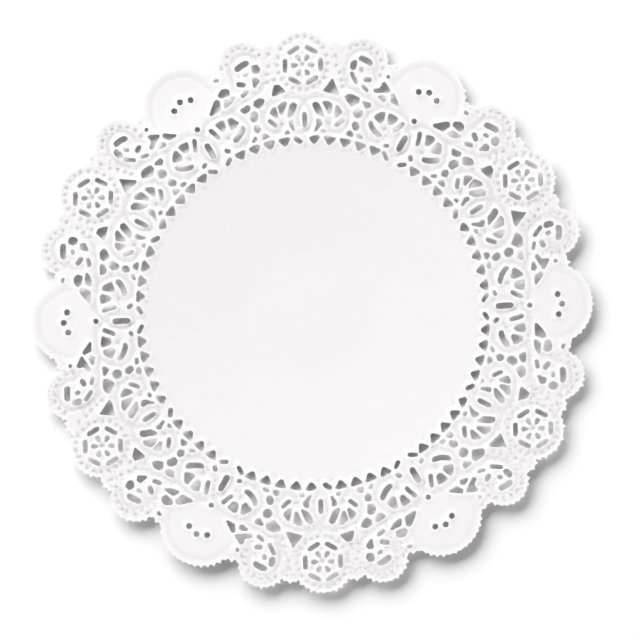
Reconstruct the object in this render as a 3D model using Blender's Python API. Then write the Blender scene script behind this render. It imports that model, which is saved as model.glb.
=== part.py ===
"""Round lace doily, 254 mm across, cut and pressed from one sheet of white paper.

The middle of the sheet is plain.  Round it runs a lace border of six equal repeats.  From its
centre line to either side a repeat has half a rosette, a curl and half a shell on the scalloped
edge, two wheels and a chain of small openings below them, and a ring of little triangles next to
the plain middle.  Pressing dishes the sheet very slightly: it lies flat on the table over the
innermost 50 mm, and its edge stands about 3 mm clear of the table all the way round.
"""
import math
from collections import namedtuple

import bmesh
import bpy
from mathutils import Vector
from mathutils.geometry import delaunay_2d_cdt

# Driving sizes, in metres.
DIAMETER = 0.254
THICKNESS = 0.001
EDGE_LIFT = 0.0033
EDGE_UNEVENNESS = 0.0003

# The lace is drawn as half of one repeat, in millimetres, for a doily 254 mm across.  +Y points
# outwards along the centre line of the rosette, +X goes clockwise, and the half repeat ends at the
# centre line of the shell, 30 degrees round.
CHART_DIAMETER = 254.0
CHART_UNIT = DIAMETER / CHART_DIAMETER
REPEATS = 6
REPEAT_ANGLE = math.tau / REPEATS
SHELL_AXIS = REPEAT_ANGLE / 2

# The other half of a repeat is its mirror image, turned a touch towards the rosette's line.
OTHER_HALF_TURN = math.radians(0.7)

# Rings of points in the plain middle, by radius on the chart, from the disc that lies flat to
# where the lace begins.
FLAT_RADIUS = 25.0
LACE_RADIUS = 75.0
EDGE_RADIUS = CHART_DIAMETER / 2
Ring = namedtuple("Ring", "radius points")
PLAIN_RINGS = (
    Ring(FLAT_RADIUS, 18),
    Ring(33.0, 24),
    Ring(42.0, 24),
    Ring(52.0, 36),
    Ring(63.0, 48),
    Ring(LACE_RADIUS - 0.5, 60),
)

# The dish: it starts over a soft bend round the flat disc, and is a little steeper at first.
DISH_BEND = 0.04
DISH_START_SLOPE = 1.35

# Each scallop of the edge is a round lobe that runs from notch to notch.
LOBE_STEP = math.radians(18.0)
NUB_STEP = math.radians(45.0)
Lobe = namedtuple("Lobe", "name x y radius step")
ROSETTE_RADIUS_FROM_CENTRE = 113.4
SHELL_RADIUS_FROM_CENTRE = 108.6
SHELL_LOBE_RADIUS = EDGE_RADIUS - SHELL_RADIUS_FROM_CENTRE
ROSETTE_LOBE = Lobe(
    "rosette", 0.0, ROSETTE_RADIUS_FROM_CENTRE, EDGE_RADIUS - ROSETTE_RADIUS_FROM_CENTRE, LOBE_STEP
)
HALF_REPEAT_LOBES = (
    Lobe("nub by the rosette", 14.3, 118.6, 4.0, NUB_STEP),
    Lobe("curl", 27.3, 112.4, 11.4, LOBE_STEP),
    Lobe("nub by the shell", 41.1, 107.3, 4.0, NUB_STEP),
)
SHELL_LOBE = Lobe(
    "shell",
    SHELL_RADIUS_FROM_CENTRE * math.sin(SHELL_AXIS),
    SHELL_RADIUS_FROM_CENTRE * math.cos(SHELL_AXIS),
    SHELL_LOBE_RADIUS,
    LOBE_STEP,
)

# Openings over 4 mm.  One corner is a round hole.  Two corners are the tips of a slot with round
# ends, whose middle line bows sideways by `bow`.  More corners are cut off at `rounding` from
# their point.  `rounding` is also the radius of a round hole and half the width of a slot.
Opening = namedtuple("Opening", "name corners rounding bow")
HALF_REPEAT_OPENINGS = (
    Opening("inner wheel, window", ((3.5, 96.3), (6.4, 96.3), (9.5, 89.2), (5.2, 90.7)), 0.9, 0.0),
    Opening("inner wheel, wedge", ((7.4, 97.2), (13.1, 95.7), (11.2, 89.2)), 0.9, 0.0),
    Opening("inner wheel, lower slot", ((13.5, 85.0), (17.9, 88.4)), 1.1, 0.0),
    Opening("inner wheel, comma", ((4.9, 89.3), (8.7, 88.6), (3.6, 81.9)), 0.9, 0.0),
    Opening("chain, large", ((17.5, 98.8), (21.2, 99.9), (25.7, 97.8), (21.2, 93.2)), 1.2, 0.0),
    Opening("chain, round", ((24.5, 90.4),), 2.4, 0.0),
    Opening("outer wheel, crescent", ((29.4, 86.9), (34.3, 79.3)), 1.35, -1.0),
    Opening("outer wheel, wedge", ((30.7, 88.5), (37.5, 91.0), (34.2, 84.2)), 1.1, 0.0),
    Opening("outer wheel, slot", ((39.9, 81.2), (44.8, 85.2)), 1.05, 0.0),
    Opening("ring, slanted slot", ((34.9, 72.8), (37.2, 68.2)), 1.0, 0.0),
    Opening("gap under the lobes", ((8.2, 101.0), (13.0, 108.2), (17.0, 98.9)), 0.7, 0.0),
    Opening("curl, bean", ((24.9, 116.2), (31.9, 112.0)), 1.5, 0.7),
    Opening("curl, side slot", ((21.6, 109.7), (24.4, 103.8)), 1.15, 0.0),
    Opening("tail, upper slot", ((26.2, 103.2), (29.7, 99.9)), 1.0, 0.0),
    Opening("tail, comet", ((31.2, 99.5), (36.8, 105.0), (40.4, 99.4)), 1.0, 0.0),
    Opening("tail, sail", ((39.3, 99.3), (42.2, 98.4), (44.1, 92.2), (39.3, 94.5)), 0.9, 0.0),
)

# Slots that lie on a centre line, by the line's angle and the distances of their tips.
AxisSlot = namedtuple("AxisSlot", "name line near far half_width")
AXIS_SLOTS = (
    AxisSlot("under the rosette", 0.0, 85.0, 92.0, 1.25),
    AxisSlot("under the shell", SHELL_AXIS, 83.2, 91.7, 1.3),
)

# The ring of triangles points its tips at the plain middle: five in each half repeat.
TRIANGLES = 5
TRIANGLE_PITCH = math.radians(5.05)
TRIANGLE_FIRST = math.radians(2.9)
TRIANGLE_TIP = 76.6
TRIANGLE_BASE = 81.1
TRIANGLE_HALF_WIDTH = 2.75
TRIANGLE_ROUNDING = 0.9

# Six straight slots stand round the middle of a rosette, as the sides of a hexagon.
ROSETTE_SLOTS = 6
ROSETTE_SLOT_DISTANCE = 8.1
ROSETTE_SLOT_LENGTH = 6.5
ROSETTE_SLOT_HALF_WIDTH = 1.0

ROUND_HOLE_POINTS = 8
SLOT_END_STEPS = 2

# The kind of triangulation that fills the edge of the sheet and leaves out the loops inside it.
INSIDE_WITHOUT_HOLES = 2

PAPER_COLOUR = (0.90, 0.895, 0.90, 1.0)
PAPER_ROUGHNESS = 0.75


def turned(x, y, angle):
    """Turn a chart point clockwise about the middle of the doily."""
    return (
        x * math.cos(angle) + y * math.sin(angle),
        y * math.cos(angle) - x * math.sin(angle),
    )


def arc(centre, radius, start, end, steps):
    """Points along an arc, both ends included."""
    angles = [start + (end - start) * i / steps for i in range(steps + 1)]
    return [(centre[0] + radius * math.cos(a), centre[1] + radius * math.sin(a)) for a in angles]


def slot_outline(first_tip, second_tip, half_width, bow):
    """A slot with round ends, whose middle line may bow to the left of its direction."""
    start = Vector(first_tip)
    end = Vector(second_tip)
    along = (end - start).normalized()
    left = Vector((-along.y, along.x))
    start_centre = start + along * half_width
    end_centre = end - along * half_width
    heading = math.atan2(along.y, along.x)
    quarter = math.pi / 2
    far_end = arc(end_centre, half_width, heading - quarter, heading + quarter, SLOT_END_STEPS)
    near_end = arc(
        start_centre, half_width, heading + quarter, heading + 3 * quarter, SLOT_END_STEPS
    )
    if bow == 0.0:
        return far_end + near_end
    middle = (start + end) / 2 + left * bow
    return far_end + [middle + left * half_width] + near_end + [middle - left * half_width]


def cut_corners(corners, rounding):
    """A straight-sided outline with each corner cut off."""
    outline = []
    for i, corner in enumerate(corners):
        here = Vector(corner)
        for other in (corners[i - 1], corners[(i + 1) % len(corners)]):
            side = Vector(other) - here
            outline.append(here + side.normalized() * min(rounding, side.length * 0.4))
    return outline


def opening_outline(opening):
    """The outline of one opening on the chart."""
    if len(opening.corners) == 1:
        full_turn = arc(opening.corners[0], opening.rounding, 0.0, math.tau, ROUND_HOLE_POINTS)
        return full_turn[:-1]
    if len(opening.corners) == 2:
        return slot_outline(*opening.corners, opening.rounding, opening.bow)
    return cut_corners(opening.corners, opening.rounding)


def ring_triangles():
    """The triangles of half a repeat, which share one shape and stand at an even pitch."""
    triangles = []
    for i in range(TRIANGLES):
        angle = TRIANGLE_FIRST + i * TRIANGLE_PITCH
        corners = (
            turned(-TRIANGLE_HALF_WIDTH, TRIANGLE_BASE, angle),
            turned(TRIANGLE_HALF_WIDTH, TRIANGLE_BASE, angle),
            turned(0.0, TRIANGLE_TIP, angle),
        )
        triangles.append(Opening("ring, triangle", corners, TRIANGLE_ROUNDING, 0.0))
    return triangles


def axis_slots():
    """The slots on the centre lines of the rosette and the shell."""
    slots = []
    for slot in AXIS_SLOTS:
        tips = (turned(0.0, slot.near, slot.line), turned(0.0, slot.far, slot.line))
        slots.append(Opening(slot.name, tips, slot.half_width, 0.0))
    return slots


def rosette_slots():
    """The six slots round the middle of one rosette."""
    slots = []
    for i in range(ROSETTE_SLOTS):
        angle = i * math.tau / ROSETTE_SLOTS
        ends = []
        for half_length in (-ROSETTE_SLOT_LENGTH / 2, ROSETTE_SLOT_LENGTH / 2):
            x, y = turned(ROSETTE_SLOT_DISTANCE, half_length, angle)
            ends.append((x, y + ROSETTE_RADIUS_FROM_CENTRE))
        slots.append(Opening("rosette, slot", tuple(ends), ROSETTE_SLOT_HALF_WIDTH, 0.0))
    return slots


def all_openings():
    """The outlines of every opening in the doily, on the chart."""
    half = [opening_outline(o) for o in (*HALF_REPEAT_OPENINGS, *ring_triangles())]
    other_half = [[turned(-x, y, OTHER_HALF_TURN) for x, y in outline] for outline in half]
    single = [opening_outline(o) for o in (*axis_slots(), *rosette_slots())]
    outlines = []
    for repeat in range(REPEATS):
        angle = repeat * REPEAT_ANGLE
        for outline in half + other_half + single:
            outlines.append([turned(x, y, angle) for x, y in outline])
    return outlines


def lobes_clockwise():
    """The lobes of the whole edge, in order clockwise from the first rosette."""
    lobes = []
    for repeat in range(REPEATS):
        angle = repeat * REPEAT_ANGLE
        back = [lobe._replace(x=-lobe.x) for lobe in reversed(HALF_REPEAT_LOBES)]
        for lobe in (ROSETTE_LOBE, *HALF_REPEAT_LOBES, SHELL_LOBE):
            x, y = turned(lobe.x, lobe.y, angle)
            lobes.append(lobe._replace(x=x, y=y))
        for lobe in back:
            x, y = turned(lobe.x, lobe.y, angle + REPEAT_ANGLE)
            lobes.append(lobe._replace(x=x, y=y))
    return lobes


def notch_between(lobe, other):
    """Where two neighbouring lobes meet on the outside of the doily."""
    start = Vector((lobe.x, lobe.y))
    apart = Vector((other.x, other.y)) - start
    distance = apart.length
    along = (distance**2 + lobe.radius**2 - other.radius**2) / (2 * distance)
    aside = math.sqrt(lobe.radius**2 - along**2)
    across = Vector((-apart.y, apart.x)) / distance
    foot = start + apart * (along / distance)
    return max((foot + across * aside, foot - across * aside), key=lambda point: point.length)


def scalloped_edge():
    """The edge of the sheet: each lobe from its notch to the next one, clockwise."""
    lobes = lobes_clockwise()
    edge = []
    for i, lobe in enumerate(lobes):
        first = notch_between(lobes[i - 1], lobe)
        last = notch_between(lobe, lobes[(i + 1) % len(lobes)])
        start = math.atan2(first.y - lobe.y, first.x - lobe.x)
        end = math.atan2(last.y - lobe.y, last.x - lobe.x)
        span = (start - end) % math.tau
        steps = 2 * math.ceil(span / lobe.step / 2)
        edge += arc((lobe.x, lobe.y), lobe.radius, start, start - span, steps)[:-1]
    return edge


def plain_points():
    """Points of the plain middle, on rings, so that it can lie flat and then rise smoothly."""
    points = [(0.0, 0.0)]
    for number, ring in enumerate(PLAIN_RINGS):
        offset = (number % 2) * math.pi / ring.points
        for i in range(ring.points):
            points.append(turned(0.0, ring.radius, offset + i * math.tau / ring.points))
    return points


def lift(x, y):
    """How far the underside stands off the table at a chart point, in metres."""
    outwards = (math.hypot(x, y) - FLAT_RADIUS) / (EDGE_RADIUS - FLAT_RADIUS)
    if outwards <= 0.0:
        return 0.0
    bend = outwards / (outwards + DISH_BEND)
    dish = bend * outwards * (DISH_START_SLOPE + (1.0 - DISH_START_SLOPE) * outwards)
    angle = math.atan2(x, y)
    wander = 0.6 * math.sin(2.0 * angle + 0.7) + 0.4 * math.sin(5.0 * angle + 2.1)
    return EDGE_LIFT * dish + EDGE_UNEVENNESS * wander * outwards**2


def signed_area(outline):
    """The area of a closed outline, positive if it runs counter-clockwise."""
    sides = zip(outline, outline[1:] + outline[:1])
    return sum(a[0] * b[1] - b[0] * a[1] for a, b in sides) / 2


def sheet_mesh():
    """The sheet with its openings, as one closed solid."""
    points = plain_points()
    loops = []
    for outline in (scalloped_edge(), *all_openings()):
        loop = list(range(len(points), len(points) + len(outline)))
        loops.append(loop if signed_area(outline) > 0.0 else loop[::-1])
        points += outline
    flat = delaunay_2d_cdt([Vector(p) for p in points], [], loops, INSIDE_WITHOUT_HOLES, 1e-5)
    flat_points, paper_faces = flat[0], flat[2]

    sheet = bmesh.new()
    under = []
    over = []
    for x, y in flat_points:
        height = lift(x, y)
        under.append(sheet.verts.new((x * CHART_UNIT, y * CHART_UNIT, height)))
        over.append(sheet.verts.new((x * CHART_UNIT, y * CHART_UNIT, height + THICKNESS)))
    for face in paper_faces:
        sheet.faces.new([over[i] for i in face])
        sheet.faces.new([under[i] for i in reversed(face)])
    partner = dict(zip(over, under))
    rims = [edge for edge in sheet.edges if edge.is_boundary and edge.verts[0] in partner]
    for rim in rims:
        loop = rim.link_loops[0]
        a = loop.vert
        b = loop.link_loop_next.vert
        sheet.faces.new([b, a, partner[a], partner[b]])
    bmesh.ops.recalc_face_normals(sheet, faces=sheet.faces)
    mesh = bpy.data.meshes.new("doily")
    sheet.to_mesh(mesh)
    sheet.free()
    return mesh


def paper_material():
    """Plain white paper."""
    material = bpy.data.materials.new("white paper")
    material.use_nodes = True
    shader = material.node_tree.nodes["Principled BSDF"]
    shader.inputs["Base Color"].default_value = PAPER_COLOUR
    shader.inputs["Roughness"].default_value = PAPER_ROUGHNESS
    shader.inputs["Metallic"].default_value = 0.0
    return material


for old in list(bpy.data.objects):
    bpy.data.objects.remove(old)

doily = bpy.data.objects.new("doily", sheet_mesh())
doily.data.materials.append(paper_material())
bpy.context.scene.collection.objects.link(doily)
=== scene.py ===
"""Looks of the round lace doily: the cut and pressed paper, the table, the light and the camera."""

import math
import random
from collections import namedtuple

import bpy
from mathutils import Matrix, Vector, kdtree
from mathutils.geometry import delaunay_2d_cdt


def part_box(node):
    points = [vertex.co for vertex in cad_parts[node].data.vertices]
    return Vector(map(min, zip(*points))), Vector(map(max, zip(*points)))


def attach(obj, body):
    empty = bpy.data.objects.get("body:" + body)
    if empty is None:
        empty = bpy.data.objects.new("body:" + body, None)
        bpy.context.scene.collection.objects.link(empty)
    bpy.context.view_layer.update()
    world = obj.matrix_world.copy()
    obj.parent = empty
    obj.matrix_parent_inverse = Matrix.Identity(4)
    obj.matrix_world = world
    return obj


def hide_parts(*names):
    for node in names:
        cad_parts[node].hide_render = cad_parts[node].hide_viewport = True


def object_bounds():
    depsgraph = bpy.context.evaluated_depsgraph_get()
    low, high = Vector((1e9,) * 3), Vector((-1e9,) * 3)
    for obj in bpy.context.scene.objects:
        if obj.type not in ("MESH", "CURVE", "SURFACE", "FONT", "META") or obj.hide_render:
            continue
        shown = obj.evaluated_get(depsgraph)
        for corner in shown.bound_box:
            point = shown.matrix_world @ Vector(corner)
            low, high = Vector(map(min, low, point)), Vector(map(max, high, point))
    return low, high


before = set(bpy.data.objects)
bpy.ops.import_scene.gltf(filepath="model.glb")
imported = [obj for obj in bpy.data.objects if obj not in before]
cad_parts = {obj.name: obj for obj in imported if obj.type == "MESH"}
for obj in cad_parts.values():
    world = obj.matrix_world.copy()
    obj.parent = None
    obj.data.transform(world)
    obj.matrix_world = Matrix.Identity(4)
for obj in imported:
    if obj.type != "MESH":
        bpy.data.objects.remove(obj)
cad_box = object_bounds()


# ---------------------------------------------------------------------------------------------
# The doily: one sheet of white paper, about a quarter of a millimetre thick as it is pressed.
# One stroke of a steel die cuts the scalloped edge and every opening, raises a small welt along
# each cut, and presses beads and fine grooves between them to look like thread work.

# The lace is charted in millimetres for a doily 254 mm across.  +Y points outwards along the
# centre line of a rosette and +X goes clockwise.  A repeat runs from shell to shell.
CHART_DIAMETER = 254.0
doily_low, doily_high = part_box("doily")
chart_unit = (doily_high[0] - doily_low[0]) / CHART_DIAMETER
REPEATS = 6
REPEAT_ANGLE = math.tau / REPEATS
SHELL_AXIS = REPEAT_ANGLE / 2
PLAIN_RADIUS = 73.5

# One corner is a round hole, and `rounding` is its radius.  Two corners are the tips of a slot:
# `rounding` is half its width and `bow` bends its middle line to the left.  More corners are
# rounded to the radius `rounding`.
Opening = namedtuple("Opening", "name corners rounding bow", defaults=(0.0,))

CLOCKWISE_HALF = (
    Opening("inner wheel, window",
        ((3.3, 95.6), (5.2, 96.6), (7.0, 95.4), (9.3, 89.3), (8.4, 89.2), (5.4, 90.7)), 0.9),
    Opening("inner wheel, upper wedge",
        ((7.9, 96.9), (10.5, 96.9), (12.9, 95.3), (11.9, 90.3), (10.6, 90.3)), 0.7),
    Opening("inner wheel, lower wedge",
        ((14.3, 94.7), (15.7, 94.2), (17.4, 91.0), (14.6, 88.6), (13.0, 88.7)), 0.6),
    Opening("inner wheel, slot", ((13.4, 84.9), (17.9, 88.2)), 1.05, -0.15),
    Opening("inner wheel, comma",
        ((5.0, 88.3), (6.4, 88.9), (8.1, 87.4), (8.0, 86.0), (4.7, 82.6), (3.7, 82.9), (5.3, 86.2)), 0.6),
    Opening("inner wheel, seed", ((7.0, 82.9), (9.6, 83.0)), 0.9),
    Opening("chain, large",
        ((18.2, 97.8), (20.0, 99.3), (22.3, 99.2), (25.6, 97.3), (25.1, 95.0), (21.4, 93.2)), 0.9),
    Opening("chain, second", ((26.1, 95.6), (27.5, 96.0), (30.7, 94.6), (30.1, 92.9), (27.9, 92.2)), 0.6),
    Opening("chain, round", ((24.3, 90.4),), 2.25),
    Opening("chain, oval", ((22.5, 86.7), (23.4, 82.4)), 1.65),
    Opening("chain, bell",
        ((18.4, 81.5), (19.7, 82.9), (21.2, 82.4), (22.1, 80.2), (20.9, 79.7), (18.6, 80.4)), 0.6),
    Opening("chain, seed", ((23.2, 80.5), (26.0, 78.9)), 1.0),
    Opening("outer wheel, crescent", ((29.4, 86.7), (34.3, 79.4)), 1.25, -0.9),
    Opening("outer wheel, upper wedge",
        ((31.1, 88.4), (32.5, 89.6), (35.0, 90.6), (37.0, 90.4), (35.9, 86.0), (34.1, 84.8)), 0.7),
    Opening("outer wheel, lower wedge",
        ((38.2, 89.9), (39.7, 89.6), (42.9, 87.2), (39.8, 84.3), (37.8, 84.7), (37.3, 86.3)), 0.7),
    Opening("outer wheel, slot", ((39.9, 81.5), (45.2, 85.2)), 1.05, -0.2),
    Opening("outer wheel, seed", ((35.2, 75.2), (38.0, 75.0)), 0.95),
    Opening("ring, slanted slot", ((34.9, 72.6), (37.1, 68.3)), 1.0),
    Opening("ring, first",
        ((1.3, 79.6), (2.4, 80.9), (5.9, 81.2), (6.6, 80.0), (4.2, 77.2), (3.3, 77.2)), 0.6),
    Opening("gap under the lobes",
        ((8.5, 101.3), (12.3, 105.8), (13.2, 107.4), (13.8, 105.8), (16.5, 99.6), (15.3, 99.0)), 0.4),
    Opening("curl, bean", ((25.6, 116.0), (31.7, 112.3)), 1.4, 0.35),
    Opening("curl, upper drop",
        ((21.8, 113.6), (23.3, 115.0), (25.0, 114.4), (24.4, 111.0), (23.1, 109.8), (21.4, 111.2)), 0.6),
    Opening("curl, seed", ((26.6, 111.6), (26.6, 108.8)), 1.05),
    Opening("curl, side slot", ((21.8, 109.5), (24.3, 103.8)), 1.0),
    Opening("curl, lower slot", ((27.3, 105.6), (31.2, 105.4)), 1.2),
    Opening("tail, upper slot", ((26.5, 103.0), (29.4, 100.1)), 0.9),
    Opening("tail, comet",
        ((31.4, 101.3), (34.9, 101.5), (36.1, 104.2), (37.3, 104.2), (40.3, 99.3), (32.2, 99.2)), 0.8),
    Opening("tail, fin", ((33.0, 97.6), (35.2, 98.2), (37.2, 97.6), (37.9, 96.0), (36.4, 94.6)), 0.6),
    Opening("tail, sail", ((39.4, 98.5), (41.2, 98.7), (43.5, 93.0), (42.7, 92.6), (39.3, 94.7)), 0.7),
    Opening("pinhole beside the shell", ((38.9, 106.4),), 0.95),
)

# The other half of a repeat is nearly the mirror image.  It is charted as seen in a mirror.
ANTICLOCKWISE_HALF = (
    Opening("inner wheel, window",
        ((3.2, 95.4), (4.9, 96.9), (6.6, 95.7), (8.9, 89.8), (7.8, 89.0), (5.1, 90.9)), 0.8),
    Opening("inner wheel, upper wedge",
        ((7.6, 97.0), (9.6, 97.2), (12.6, 95.1), (11.2, 90.8), (9.9, 90.8)), 0.7),
    Opening("inner wheel, lower wedge",
        ((13.1, 94.9), (14.6, 94.6), (16.3, 92.0), (12.9, 89.2), (11.9, 89.9)), 0.6),
    Opening("inner wheel, slot", ((12.7, 85.7), (16.9, 89.1)), 1.0, -0.05),
    Opening("inner wheel, comma",
        ((5.1, 88.4), (7.0, 88.5), (7.7, 86.9), (5.7, 83.4), (4.5, 83.7), (5.2, 86.3)), 0.55),
    Opening("inner wheel, seed", ((6.7, 82.3), (8.0, 84.1), (9.2, 83.6), (10.0, 81.8)), 0.6),
    Opening("chain, large",
        ((17.8, 98.5), (20.5, 99.2), (23.0, 97.8), (23.5, 95.6), (20.6, 93.9), (18.5, 96.3)), 0.8),
    Opening("chain, second", ((24.4, 95.4), (25.7, 96.6), (30.0, 94.0), (27.2, 91.9), (25.0, 93.5)), 0.7),
    Opening("chain, round",
        ((21.1, 92.4), (23.1, 93.3), (24.8, 92.2), (25.3, 89.9), (24.0, 88.0), (21.5, 88.2)), 0.9),
    Opening("chain, oval", ((19.7, 84.9), (21.0, 86.9), (23.1, 86.9), (23.6, 84.5), (21.7, 82.7)), 0.8),
    Opening("chain, bell", ((15.8, 81.4), (18.3, 83.0), (19.7, 82.7), (20.3, 80.2), (18.9, 80.0)), 0.55),
    Opening("chain, seed", ((21.9, 80.5), (22.9, 81.9), (23.9, 81.2), (24.9, 79.0), (23.6, 78.7)), 0.6),
    Opening("outer wheel, crescent", ((28.0, 86.6), (32.8, 79.4)), 1.35, -0.6),
    Opening("outer wheel, upper wedge",
        ((29.8, 88.1), (31.3, 89.3), (33.6, 90.8), (35.6, 90.3), (34.1, 84.9), (32.7, 84.9)), 0.7),
    Opening("outer wheel, lower wedge",
        ((36.9, 89.5), (38.6, 89.8), (41.3, 87.5), (38.0, 84.3), (36.5, 84.4), (36.1, 86.3)), 0.7),
    Opening("outer wheel, slot", ((39.0, 80.9), (43.9, 85.7)), 1.05, 0.15),
    Opening("outer wheel, seed", ((34.5, 75.0), (37.5, 76.1)), 1.05),
    Opening("ring, slanted slot", ((34.5, 72.5), (36.6, 68.7)), 1.0),
    Opening("ring, first", ((1.6, 77.9), (5.4, 80.6)), 1.15),
    Opening("gap under the lobes",
        ((7.9, 101.4), (11.2, 104.8), (13.6, 104.8), (14.9, 100.0), (13.7, 99.5)), 0.5),
    Opening("curl, bean", ((24.7, 115.8), (31.1, 112.1)), 1.4, 0.3),
    Opening("curl, upper drop",
        ((19.6, 112.4), (21.0, 114.7), (23.7, 114.0), (23.6, 111.2), (21.9, 110.2), (19.9, 110.6)), 0.8),
    Opening("curl, seed", ((25.0, 110.8), (27.5, 109.4)), 0.95),
    Opening("curl, side slot",
        ((19.6, 107.1), (21.3, 108.9), (23.5, 108.2), (23.0, 103.8), (21.9, 103.9)), 0.7),
    Opening("curl, lower slot", ((26.2, 105.2), (30.7, 105.9)), 1.2),
    Opening("tail, upper slot", ((25.3, 102.7), (28.8, 99.9)), 1.05),
    Opening("tail, comet",
        ((33.9, 103.3), (35.9, 104.2), (38.1, 103.5), (39.7, 100.9), (38.1, 99.5), (33.9, 100.7)), 0.9),
    Opening("tail, fin",
        ((31.2, 99.9), (32.1, 100.5), (36.5, 98.5), (36.8, 95.6), (36.0, 94.8), (33.0, 97.0)), 0.6),
    Opening("tail, sail",
        ((38.5, 98.6), (40.2, 99.4), (41.5, 98.1), (43.7, 92.3), (42.6, 91.8), (38.0, 94.4)), 0.8),
    Opening("pinhole beside the shell", ((38.5, 108.3), (41.1, 107.8)), 0.85),
)

# Ring triangles point their tips at the plain middle.  Their corners are distances along the
# ring and from the centre of the doily.
RING_TRIANGLE = ((-3.0, 80.6), (-1.6, 81.2), (2.2, 81.0), (3.0, 80.1), (0.5, 77.1), (-0.6, 77.1))
RING_TRIANGLE_ROUNDING = 0.65
RING_TRIANGLE_PITCH = math.radians(5.05)
RING_TRIANGLES_CLOCKWISE = (math.radians(7.85), 4)
RING_TRIANGLES_ANTICLOCKWISE = (math.radians(7.0), 4)

ROSETTE_RADIUS_FROM_CENTRE = 113.4
ROSETTE_SLOTS = 6
ROSETTE_SLOT_DISTANCE = 8.05
ROSETTE_SLOT_LENGTH = 6.5
ROSETTE_SLOT_HALF_WIDTH = 1.1
PETAL = ((2.0, 0.3), (3.8, 1.2), (5.0, 1.1), (5.6, 0.0), (5.0, -1.1), (3.8, -1.2), (2.0, -0.3))
PETAL_ROUNDING = 0.7

# One slot stands on the centre line of each rosette, and one on that of each shell.
ROSETTE_LINE_SLOT = ((-0.05, 84.8), (-0.1, 91.9))
ROSETTE_LINE_SLOT_HALF_WIDTH = 1.15
SHELL_LINE_SLOT = ((0.0, 83.4), (0.0, 91.7))
SHELL_LINE_SLOT_HALF_WIDTH = 1.4

# Holes on the centre line of a shell, by distance from the doily's centre and degrees aside.
SHELL_HOLES = ((112.0, -2.15), (113.8, 0.12), (112.2, 2.5))
SHELL_HOLE_RADIUS = 1.4
SHELL_FOOT_HOLE = (99.05, 0.2)
SHELL_FOOT_HOLE_RADIUS = 1.25

# How finely the curved parts of an opening are drawn, in steps or in chart millimetres, and the
# largest share of a side that the rounding of a corner may take up.
ROUND_HOLE_STEPS = 24
SLOT_END_STEPS = 12
CORNER_STEPS = 8
SLOT_SPACING = 0.15
CORNER_SHARE = 0.48


def turned(point, angle):
    """A chart point turned clockwise about the middle of the doily."""
    x, y = point
    return (x * math.cos(angle) + y * math.sin(angle), y * math.cos(angle) - x * math.sin(angle))


def mirrored(outline):
    """The mirror image of an outline, across the centre line of the rosette."""
    return [(-x, y) for x, y in outline]


def arc(centre, radius, start, sweep, steps):
    """Points along an arc, both ends included."""
    angles = [start + sweep * i / steps for i in range(steps + 1)]
    return [(centre[0] + radius * math.cos(a), centre[1] + radius * math.sin(a)) for a in angles]


def round_hole(centre, radius):
    """The outline of a round hole."""
    return arc(centre, radius, 0.0, math.tau, ROUND_HOLE_STEPS)[:-1]


def slot_outline(first_tip, second_tip, half_width, bow):
    """A slot with round ends, whose middle line may bow to the left of its direction."""
    start = Vector(first_tip)
    end = Vector(second_tip)
    along = (end - start).normalized()
    left = Vector((-along.y, along.x))
    heading = math.atan2(along.y, along.x)
    length = (end - start).length
    quarter = math.pi / 2
    far_end = arc(end - along * half_width, half_width, heading - quarter, math.pi, SLOT_END_STEPS)
    near_end = arc(start + along * half_width, half_width, heading + quarter, math.pi, SLOT_END_STEPS)
    bent = []
    for point in along_closed(far_end + near_end, SLOT_SPACING):
        share = max(0.0, min(1.0, (point - start).dot(along) / length))
        bent.append(point + left * (bow * math.sin(math.pi * share)))
    return [tuple(point) for point in bent]


def rounded_outline(corners, rounding):
    """A straight-sided outline with each corner rounded to an arc."""
    outline = []
    for i, corner in enumerate(corners):
        here = Vector(corner)
        back = Vector(corners[i - 1]) - here
        onward = Vector(corners[(i + 1) % len(corners)]) - here
        half_angle = back.angle(onward) / 2
        longest = CORNER_SHARE * min(back.length, onward.length)
        reach = min(rounding / math.tan(half_angle), longest)
        radius = reach * math.tan(half_angle)
        middle = (back.normalized() + onward.normalized()).normalized()
        centre = here + middle * (reach / math.cos(half_angle))
        first = here + back.normalized() * reach - centre
        last = here + onward.normalized() * reach - centre
        start = math.atan2(first.y, first.x)
        sweep = (math.atan2(last.y, last.x) - start + math.pi) % math.tau - math.pi
        outline += arc(centre, radius, start, sweep, CORNER_STEPS)
    return outline


def along_closed(outline, spacing):
    """Points at an even spacing along a closed line."""
    points = [Vector(p) for p in outline]
    sides = [(b - a).length for a, b in zip(points, points[1:] + points[:1])]
    count = round(sum(sides) / spacing)
    step = sum(sides) / count
    even = []
    side = 0
    done = 0.0
    for i in range(count):
        while done + sides[side] < i * step:
            done += sides[side]
            side += 1
        share = (i * step - done) / sides[side]
        even.append(points[side].lerp(points[(side + 1) % len(points)], share))
    return even


def opening_outline(opening):
    """The outline of one opening of the chart."""
    if len(opening.corners) == 1:
        return round_hole(opening.corners[0], opening.rounding)
    if len(opening.corners) == 2:
        return slot_outline(*opening.corners, opening.rounding, opening.bow)
    return rounded_outline(opening.corners, opening.rounding)


def ring_triangles(first_angle, count):
    """The outlines of the even triangles on one side of a repeat."""
    outlines = []
    for i in range(count):
        angle = first_angle + i * RING_TRIANGLE_PITCH
        corners = [turned(corner, angle) for corner in RING_TRIANGLE]
        outlines.append(rounded_outline(corners, RING_TRIANGLE_ROUNDING))
    return outlines


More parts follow.
